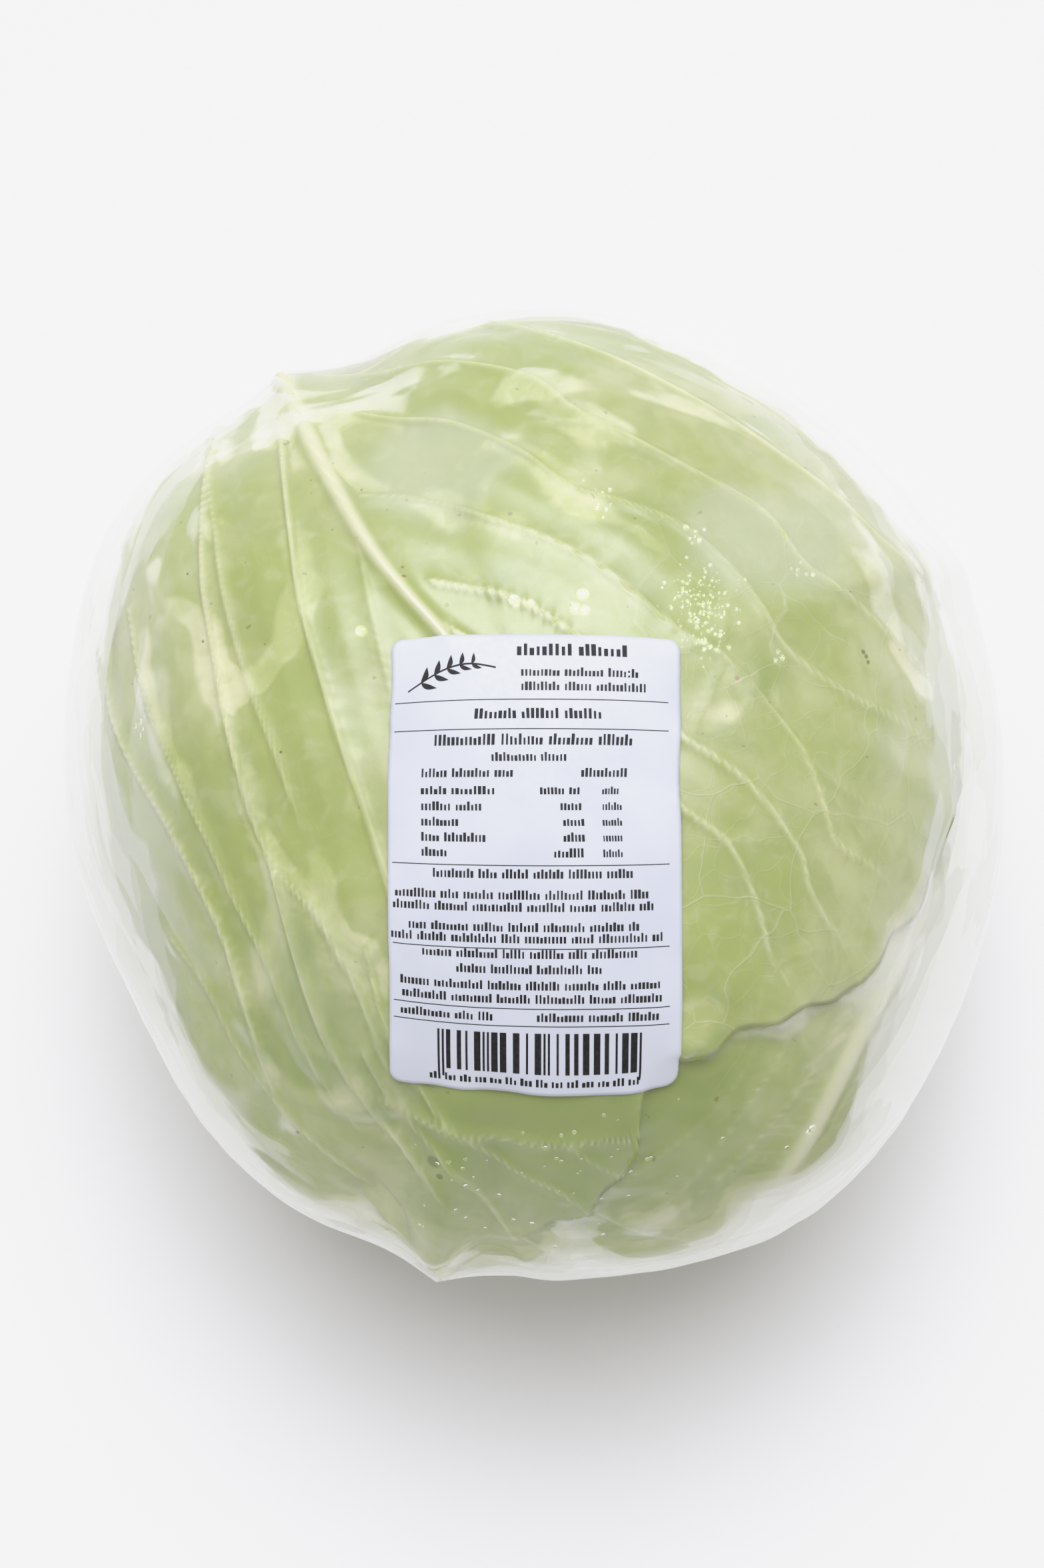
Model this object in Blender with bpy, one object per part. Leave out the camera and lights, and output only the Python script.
"""A green cabbage head held tight in clear stretch film, with a paper label on top.

The head stands on its cut stem.  Its middle is the point that every shape is measured from: the heart,
the six outer leaves, the film and the label are layers around it, each a named clearance apart.
All of them share one lattice of directions, so that two neighbouring layers never cross.
Units are metres, +Z is up, and the origin is the middle of the footprint on the table.
"""
import math

import bmesh
import bpy
import numpy as np

# Overall size, over the film
HEAD_WIDTH = 0.181
HEAD_DEPTH = 0.187
HEAD_HEIGHT = 0.148
WIDEST_LEVEL = 0.071            # height of the widest girth above the table
UPPER_FULLNESS = 2.15           # 2 is an ellipse, more is squarer
LOWER_FULLNESS = 2.6
FOOT_RADIUS = 0.032             # flat patch that the head rests on

# The head's own lumps: azimuth in degrees, half-width in degrees, height
SIDE_SWELLS = ((146.0, 20.0, 0.0060), (210.0, 30.0, -0.0048), (304.0, 20.0, 0.0046), (28.0, 14.0, 0.0015))

# Film
FILM_WALL = 0.0004
FILM_GATHER_GAP = 0.003         # radius left open in the middle of the gather

# Leaves, from the outermost in
LEAF_COUNT = 6
LEAF_WALL = 0.0013
LEAF_FIRST_AZIMUTH = 121.0
LEAF_TURN = 137.5               # from one leaf to the next around the stalk
LEAF_LEAN = 62.5                # angle between straight up and the middle of a leaf
LEAF_SHRINK = 0.975             # reach of each leaf as a share of the next one out
RIB_RISE = 0.0022
RIB_HALF_WIDTH = 8.0            # degrees across the midrib
RIB_START, RIB_FULL = 18.0, 45.0     # degrees from the stalk along the midrib
RIB_FADE, RIB_END = 95.0, 185.0
# Leaf outline: turn from the tip in degrees, and reach from the middle of the leaf in degrees
LEAF_OUTLINE = ((0.0, 112.0), (40.0, 118.0), (85.0, 106.0), (130.0, 98.0), (160.0, 96.0), (180.0, 113.0))

# Stem
STEM_DIAMETER = 0.029
STEM_CUT_BEVEL = 0.0012

# Label
LABEL_WIDTH = 0.050
LABEL_LENGTH = 0.082
LABEL_CORNER = 0.002
LABEL_WALL = 0.0003
LABEL_TILT = 19.0               # degrees from straight up, towards -Y

# Fits
CLEARANCE = 0.0003              # between pieces that touch

# Lattice of directions that every layer shares
COLUMNS = 32
ROW_STEP = 12.0
CUTTER_REACH = 1.8              # how far a cutter stands out, in head radii
OUTLINE_STEPS = 44
CUTTER_RINGS = 7


def smooth_ramp(value, low, high):
    """Rise from 0 at low to 1 at high."""
    share = np.clip((value - low) / (high - low), 0.0, 1.0)
    return share * share * (3.0 - 2.0 * share)


def turn_difference(angle, other):
    """Signed difference between two azimuths in degrees."""
    return (angle - other + 180.0) % 360.0 - 180.0


def direction(tilt, azimuth):
    """Unit vector from angles in degrees: tilt from straight up, and azimuth from +X."""
    tilt, azimuth = np.radians(tilt), np.radians(azimuth)
    return np.stack([np.sin(tilt) * np.cos(azimuth), np.sin(tilt) * np.sin(azimuth), np.cos(tilt)], -1)


def film_radius(rays):
    """Distance from the head's middle to the film's outer face, before the midribs lift it."""
    half_width, half_depth = HEAD_WIDTH / 2, HEAD_DEPTH / 2
    below = rays[:, 2] < 0
    half_height = np.where(below, WIDEST_LEVEL, HEAD_HEIGHT - WIDEST_LEVEL)
    fullness = np.where(below, LOWER_FULLNESS, UPPER_FULLNESS)
    flat = np.hypot(rays[:, 0] / half_width, rays[:, 1] / half_depth)
    radius = (flat ** fullness + np.abs(rays[:, 2] / half_height) ** fullness) ** (-1 / fullness)
    azimuth = np.degrees(np.arctan2(rays[:, 1], rays[:, 0]))
    level = 1 - rays[:, 2] ** 2
    for centre, half, height in SIDE_SWELLS:
        radius = radius + height * level * np.exp(-(turn_difference(azimuth, centre) / half) ** 2)
    return radius


def leaf_axes(index):
    """Middle, tip and side directions of a leaf, and the azimuth of its midrib."""
    azimuth = LEAF_FIRST_AZIMUTH + LEAF_TURN * index
    middle = direction(LEAF_LEAN, azimuth)
    tip = direction(LEAF_LEAN - 90.0, azimuth)
    return middle, tip, np.cross(middle, tip), azimuth


def rib_rise(rays, index):
    """How far a leaf's midrib lifts everything outside it."""
    _, _, side, azimuth = leaf_axes(index)
    outward = direction(90.0, azimuth)
    across = np.degrees(np.arcsin(np.clip(rays @ side, -1.0, 1.0)))
    along = np.degrees(np.arctan2(rays @ outward, -rays[:, 2])) % 360.0
    along = np.where(along > 270.0, 0.0, along)
    profile = smooth_ramp(along, RIB_START, RIB_FULL) * (1 - smooth_ramp(along, RIB_FADE, RIB_END))
    return RIB_RISE * profile * np.exp(-(across / RIB_HALF_WIDTH) ** 2)


def leaf_faces(rays, index):
    """Inner and outer radius of the layer that a leaf is cut from; index 0 is the outermost."""
    inside = film_radius(rays) - FILM_WALL - LEAF_COUNT * (LEAF_WALL + CLEARANCE) - CLEARANCE
    for layer in range(LEAF_COUNT - 1, index - 1, -1):
        inner = inside + CLEARANCE
        outer = inner + LEAF_WALL + rib_rise(rays, layer)
        inside = outer
    return inner, outer


def heart_face(rays):
    return leaf_faces(rays, LEAF_COUNT - 1)[0] - CLEARANCE


def film_faces(rays):
    """Inner and outer radius of the film, pressed flat where the head rests."""
    inner = leaf_faces(rays, 0)[1] + CLEARANCE
    outer = inner + FILM_WALL
    foot_slope = math.atan2(FOOT_RADIUS, WIDEST_LEVEL) + 1e-6
    on_foot = -rays[:, 2] >= math.cos(foot_slope)
    drop = np.maximum(-rays[:, 2], 1e-6)
    outer = np.where(on_foot, WIDEST_LEVEL / drop, outer)
    inner = np.where(on_foot, (WIDEST_LEVEL - FILM_WALL) / drop, inner)
    return inner, outer


def label_faces(rays):
    inner = film_faces(rays)[1] + CLEARANCE
    return inner, inner + LABEL_WALL


def row_tilts():
    """Tilts of the lattice's rings, from the first below the top to the gap in the gather."""
    foot = 180.0 - math.degrees(math.atan2(FOOT_RADIUS, WIDEST_LEVEL))
    gather = 180.0 - math.degrees(math.atan2(FILM_GATHER_GAP, WIDEST_LEVEL))
    count = round(foot / ROW_STEP)
    return [foot * (row + 1) / count for row in range(count)] + [gather]


def lattice_rays(with_bottom):
    """Directions of the lattice: the top, each ring, and the bottom point where it is closed."""
    turns = np.arange(COLUMNS) * 360.0 / COLUMNS
    rays = [direction(0.0, 0.0)[None]]
    rays += [direction(np.full(COLUMNS, tilt), turns) for tilt in row_tilts()]
    if with_bottom:
        rays.append(np.array([[0.0, 0.0, -1.0]]))
    return np.concatenate(rays)


def add_wall(mesh, points, with_bottom, outward):
    """One wall of a layer as faces between the lattice's rings; returns its last ring."""
    verts = [mesh.verts.new(point) for point in points]
    rings = [verts[1 + row * COLUMNS:1 + (row + 1) * COLUMNS] for row in range(len(row_tilts()))]
    faces = []
    for column in range(COLUMNS):
        after = (column + 1) % COLUMNS
        faces.append((verts[0], rings[0][column], rings[0][after]))
        for upper, lower in zip(rings, rings[1:]):
            faces.append((upper[column], lower[column], lower[after]))
            faces.append((upper[column], lower[after], upper[after]))
        if with_bottom:
            faces.append((rings[-1][column], verts[-1], rings[-1][after]))
    for face in faces:
        mesh.faces.new(face if outward else face[::-1])
    return rings[-1]


def layer_mesh(inner, outer, open_bottom=False):
    """A closed ball (inner is None), a hollow shell, or a shell with an opening underneath."""
    rays = lattice_rays(not open_bottom)
    middle = np.array([0.0, 0.0, WIDEST_LEVEL])
    mesh = bmesh.new()
    outer_ring = add_wall(mesh, middle + rays * outer(rays)[:, None], not open_bottom, True)
    if inner is not None:
        inner_ring = add_wall(mesh, middle + rays * inner(rays)[:, None], not open_bottom, False)
        if open_bottom:
            for column in range(COLUMNS):
                after = (column + 1) % COLUMNS
                mesh.faces.new((outer_ring[column], inner_ring[column], inner_ring[after]))
                mesh.faces.new((outer_ring[column], inner_ring[after], outer_ring[after]))
    return mesh


def outline_reach(turn, index):
    """Reach of a leaf's margin from its middle, in degrees, at a turn from its tip."""
    turn = abs(turn_difference(turn, 0.0))
    for (start, low), (end, high) in zip(LEAF_OUTLINE, LEAF_OUTLINE[1:]):
        if turn <= end:
            reach = low + (high - low) * float(smooth_ramp(turn, start, end))
            break
    shrink = LEAF_SHRINK ** index
    held = float(smooth_ramp(turn, 150.0, 175.0))       # every leaf still reaches the stalk
    return reach * (shrink + (1.0 - shrink) * held)


def leaf_cutter_mesh(index):
    """The space over a leaf's outline, from the head's middle out past the film."""
    middle_ray, tip, side, _ = leaf_axes(index)
    middle = np.array([0.0, 0.0, WIDEST_LEVEL])
    far = CUTTER_REACH * max(HEAD_WIDTH, HEAD_DEPTH, HEAD_HEIGHT) / 2
    mesh = bmesh.new()
    apex = mesh.verts.new(middle)
    crown = mesh.verts.new(middle + middle_ray * far)
    rings = []
    for ring in range(1, CUTTER_RINGS + 1):
        verts = []
        for step in range(OUTLINE_STEPS):
            turn = 360.0 * (step + 0.5) / OUTLINE_STEPS
            reach = math.radians(outline_reach(turn, index) * ring / CUTTER_RINGS)
            heading = tip * math.cos(math.radians(turn)) + side * math.sin(math.radians(turn))
            ray = middle_ray * math.cos(reach) + heading * math.sin(reach)
            verts.append(mesh.verts.new(middle + ray * far))
        rings.append(verts)
    for step in range(OUTLINE_STEPS):
        after = (step + 1) % OUTLINE_STEPS
        mesh.faces.new((crown, rings[0][step], rings[0][after]))
        for near, out in zip(rings, rings[1:]):
            mesh.faces.new((near[step], out[step], out[after], near[after]))
        mesh.faces.new((rings[-1][step], apex, rings[-1][after]))
    bmesh.ops.recalc_face_normals(mesh, faces=mesh.faces)
    return mesh


def label_cutter_mesh():
    """A rounded block with the label's outline, standing on the head's middle."""
    up = direction(LABEL_TILT, -90.0)
    across = np.array([1.0, 0.0, 0.0])
    along = np.cross(up, across)
    middle = np.array([0.0, 0.0, WIDEST_LEVEL])
    corner_steps = 4
    mesh = bmesh.new()
    outline = []
    for corner, (sign_x, sign_y) in enumerate(((1, 1), (-1, 1), (-1, -1), (1, -1))):
        for step in range(corner_steps + 1):
            angle = math.radians(90.0 * (corner + step / corner_steps))
            x = sign_x * (LABEL_WIDTH / 2 - LABEL_CORNER) + LABEL_CORNER * math.cos(angle)
            y = sign_y * (LABEL_LENGTH / 2 - LABEL_CORNER) + LABEL_CORNER * math.sin(angle)
            outline.append(mesh.verts.new(middle + across * x + along * y))
    base = mesh.faces.new(outline)
    raised = bmesh.ops.extrude_face_region(mesh, geom=[base])
    lifted = [item for item in raised["geom"] if isinstance(item, bmesh.types.BMVert)]
    bmesh.ops.translate(mesh, verts=lifted, vec=up * HEAD_HEIGHT * CUTTER_REACH)
    bmesh.ops.recalc_face_normals(mesh, faces=mesh.faces)
    return mesh


def stem_mesh(radius, bottom, top):
    mesh = bmesh.new()
    bmesh.ops.create_cone(mesh, cap_ends=True, segments=24, radius1=radius, radius2=radius,
                          depth=top - bottom)
    bmesh.ops.translate(mesh, verts=mesh.verts, vec=(0.0, 0.0, (top + bottom) / 2))
    return mesh


def plain_material(name, colour, roughness, alpha=1.0):
    material = bpy.data.materials.new(name)
    material.use_nodes = True
    shader = material.node_tree.nodes["Principled BSDF"]
    shader.inputs["Base Color"].default_value = (*colour, 1.0)
    shader.inputs["Roughness"].default_value = roughness
    shader.inputs["Metallic"].default_value = 0.0
    shader.inputs["Alpha"].default_value = alpha
    material.diffuse_color = (*colour, alpha)
    return material


def add_object(name, mesh, material=None):
    data = bpy.data.meshes.new(name)
    mesh.to_mesh(data)
    mesh.free()
    data.shade_smooth()
    data.set_sharp_from_angle(angle=math.radians(50.0))
    piece = bpy.data.objects.new(name, data)
    bpy.context.scene.collection.objects.link(piece)
    if material is None:
        piece.hide_render = True
        piece.display_type = "WIRE"
    else:
        data.materials.append(material)
    return piece


def cut(piece, cutter, operation):
    modifier = piece.modifiers.new(cutter.name, "BOOLEAN")
    modifier.operation = operation
    modifier.solver = "EXACT"
    modifier.object = cutter


def build_stem():
    """The stub under the heart, cut off square just clear of the film."""
    bottom = FILM_WALL + CLEARANCE
    heart_bottom = WIDEST_LEVEL - float(heart_face(np.array([[0.0, 0.0, -1.0]]))[0])
    stem = add_object("cut_stem", stem_mesh(STEM_DIAMETER / 2, bottom, heart_bottom - CLEARANCE),
                      plain_material("stem_flesh", (0.66, 0.65, 0.42), 0.6))
    bevel = stem.modifiers.new("cut_edge", "BEVEL")
    bevel.width = STEM_CUT_BEVEL
    bevel.segments = 2
    hole = stem_mesh(STEM_DIAMETER / 2 + CLEARANCE, -HEAD_HEIGHT, heart_bottom)
    return add_object("stem_room", hole)


def build_leaves(stem_room):
    for index in range(LEAF_COUNT):
        green = 0.06 * index / LEAF_COUNT
        colour = (0.40 + green, 0.50 + green, 0.17 + 2 * green)
        shell = layer_mesh(lambda rays, k=index: leaf_faces(rays, k)[0],
                           lambda rays, k=index: leaf_faces(rays, k)[1])
        leaf = add_object(f"outer_leaf_{index + 1}", shell, plain_material(f"leaf_{index + 1}", colour, 0.5))
        cut(leaf, add_object(f"leaf_outline_{index + 1}", leaf_cutter_mesh(index)), "INTERSECT")
        cut(leaf, stem_room, "DIFFERENCE")


def build_film():
    film = layer_mesh(lambda rays: film_faces(rays)[0], lambda rays: film_faces(rays)[1], open_bottom=True)
    return add_object("film_wrap", film, plain_material("clear_film", (0.86, 0.88, 0.86), 0.12, 0.35))


def build_label():
    shell = layer_mesh(lambda rays: label_faces(rays)[0], lambda rays: label_faces(rays)[1])
    label = add_object("label", shell, plain_material("label_paper", (0.83, 0.86, 0.90), 0.45))
    cut(label, add_object("label_outline", label_cutter_mesh()), "INTERSECT")


def centre_on_footprint(film):
    """Move every piece so that the origin is under the middle of the film's box."""
    corners = np.array([vertex.co for vertex in film.data.vertices])
    shift = -(corners.min(0) + corners.max(0)) / 2
    for piece in bpy.data.objects:
        piece.location = (shift[0], shift[1], 0.0)


def build_cabbage():
    for old in list(bpy.data.objects):
        bpy.data.objects.remove(old)
    add_object("heart", layer_mesh(None, heart_face), plain_material("heart_leaves", (0.62, 0.66, 0.34), 0.5))
    build_leaves(build_stem())
    film = build_film()
    build_label()
    centre_on_footprint(film)


build_cabbage()
